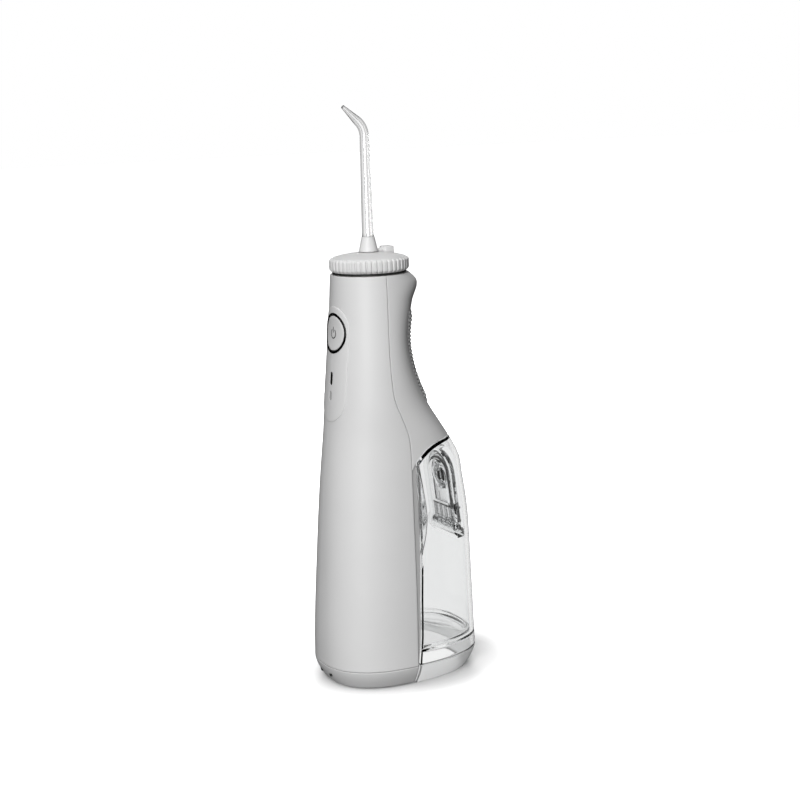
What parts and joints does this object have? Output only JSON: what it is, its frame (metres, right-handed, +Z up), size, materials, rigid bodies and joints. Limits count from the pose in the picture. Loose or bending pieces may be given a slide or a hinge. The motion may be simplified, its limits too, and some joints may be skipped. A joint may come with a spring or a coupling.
{
  "type": "water flosser",
  "caption": "Cordless hand-held oral irrigator with a pump handle, a turning toothed knob with a bent clear tip, and a clear rear tank with a hinged fill door.",
  "frame": {"origin": "centre of the footprint's box at the standing surface", "axes": "+Z up along the handle, -Y towards the power button, +Y towards the tank, X across the width"},
  "size_m": [0.0646, 0.0865, 0.2963],
  "materials": {
    "shell_plastic": "satin moulded, light grey",
    "knob_plastic": "fine satin, off-white grey",
    "grip_rubber": "matt soft-touch with cross ribs",
    "foot_rubber": "matt",
    "ring_metal": "dark polished ring",
    "led_window": "smoked",
    "clear_plastic": "clear polished",
    "tube_clear": "translucent hose",
    "inner_plastic": "engineering plastic",
    "frame_plastic": "dark glass-filled",
    "seal_rubber": "elastomer",
    "steel": "plain",
    "brass": "machined",
    "battery_wrap": "shrink sleeve",
    "circuit_board": "solder mask"
  },
  "bodies": {
    "root": {"front_shell": "shell_plastic", "rear_shell": "shell_plastic", "base_cap": "shell_plastic", "rubber_feet": "foot_rubber", "charge_contacts": "steel", "grip_pad": "grip_rubber", "control_panel": "shell_plastic", "button_ring": "ring_metal", "led_window_upper": "led_window", "led_window_lower": "led_window", "main_pcb": "circuit_board", "tact_switch": "frame_plastic", "battery_cell": "battery_wrap", "battery_cradle": "inner_plastic", "neck_plate": "inner_plastic", "neck_seal": "seal_rubber", "spout": "inner_plastic", "motor_can": "steel", "motor_end_bell": "frame_plastic", "gearbox_frame": "frame_plastic", "pump_cylinder": "inner_plastic", "valve_block": "inner_plastic", "outlet_spring": "steel", "inlet_tube": "tube_clear", "outlet_tube": "tube_clear", "inlet_port": "inner_plastic", "port_o_ring": "seal_rubber", "shell_screws": "steel"},
    "power_button": {"power_button": "shell_plastic"},
    "rotor": {"armature": "steel", "pinion": "brass"},
    "crank": {"crank_gear": "inner_plastic"},
    "rod": {"connecting_rod": "inner_plastic", "wrist_pin": "steel"},
    "piston": {"piston": "inner_plastic", "piston_seal": "seal_rubber"},
    "outlet_valve": {"outlet_poppet": "seal_rubber"},
    "knob": {"knob": "knob_plastic", "knob_cap": "knob_plastic", "tip_holder": "inner_plastic", "tip_latch": "steel", "eject_spring": "steel"},
    "eject_button": {"eject_button": "knob_plastic"},
    "tip": {"tip_collar": "knob_plastic", "tip_o_ring": "seal_rubber", "tip_tube": "clear_plastic"},
    "tank": {"tank_shell": "clear_plastic", "tank_base": "clear_plastic", "tank_outlet": "inner_plastic", "tank_check_valve": "seal_rubber", "intake_filter": "inner_plastic", "hinge_pins": "steel"},
    "fill_door": {"fill_door": "clear_plastic", "door_gasket": "seal_rubber", "door_vent_ring": "clear_plastic"}
  },
  "joints": [
    {"name": "power_press", "type": "slide", "parent": "root", "child": "power_button", "axis": [0, 0.9981, -0.061], "range_m": [0, 0.0008], "stiffness_N_per_m": 600},
    {"name": "crank_spin", "type": "hinge", "parent": "root", "child": "crank", "pos_m": [0.006, -0.0212, 0.048], "axis": [1, 0, 0], "continuous": true},
    {"name": "motor_spin", "type": "hinge", "parent": "root", "child": "rotor", "pos_m": [0.006, -0.0212, 0.0271], "axis": [1, 0, 0], "continuous": true},
    {"name": "rod_swing", "type": "hinge", "parent": "crank", "child": "rod", "pos_m": [0, -0.0212, 0.045], "axis": [1, 0, 0], "continuous": true},
    {"name": "piston_slide", "type": "slide", "parent": "root", "child": "piston", "axis": [0, 0, 1], "range_m": [0, 0.006]},
    {"name": "outlet_valve_lift", "type": "slide", "parent": "root", "child": "outlet_valve", "axis": [0, 0, 1], "range_m": [0, 0.0015], "stiffness_N_per_m": 60, "deforming": ["outlet_spring"]},
    {"name": "knob_spin", "type": "hinge", "parent": "root", "child": "knob", "pos_m": [0, -0.0071, 0.215], "axis": [0, 0, 1], "continuous": true},
    {"name": "eject_press", "type": "slide", "parent": "knob", "child": "eject_button", "axis": [0, 0, -1], "range_m": [0, 0.0012], "stiffness_N_per_m": 500, "deforming": ["eject_spring"]},
    {"name": "tip_pull", "type": "slide", "parent": "knob", "child": "tip", "axis": [0, 0, 1], "range_m": [0, 0.03]},
    {"name": "tank_pull", "type": "slide", "parent": "root", "child": "tank", "axis": [0, 1, 0], "range_m": [0, 0.06]},
    {"name": "door_hinge", "type": "hinge", "parent": "tank", "child": "fill_door", "pos_m": [0, 0.0349, 0.0739], "axis": [-1, 0, 0], "range_deg": [0, 90]}
  ],
  "couplings": [
    {"joint": "crank_spin", "follows": "motor_spin", "ratio": -0.3},
    {"joint": "rod_swing", "follows": "motor_spin", "ratio": 0.3}
  ]
}
